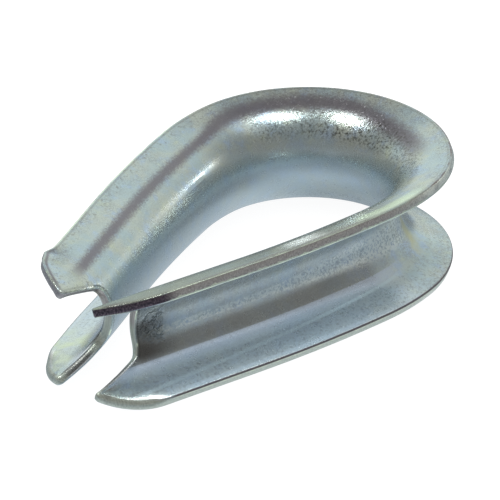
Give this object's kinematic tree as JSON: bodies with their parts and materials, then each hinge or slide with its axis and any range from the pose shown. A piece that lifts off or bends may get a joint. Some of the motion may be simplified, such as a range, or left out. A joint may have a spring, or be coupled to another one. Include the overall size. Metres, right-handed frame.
{
  "type": "wire rope thimble",
  "caption": "Open-tip teardrop wire rope thimble pressed from one steel strip, with a U-shaped rope groove round the outside and horned leg ends.",
  "frame": {"origin": "centre of the eye's round end, at mid height, where a shackle pin of the eye's full width would sit", "axes": "+Z along the axis of the eye, +X towards the crown, so the open tip points to -X; +Y towards the left leg"},
  "size_m": [0.0757, 0.0436, 0.0182],
  "materials": {
    "zinc_plate": "bright zinc plate with a thin clear passivation, satin and slightly speckled"
  },
  "bodies": {
    "root": {"thimble": "zinc_plate"}
  },
  "joints": []
}
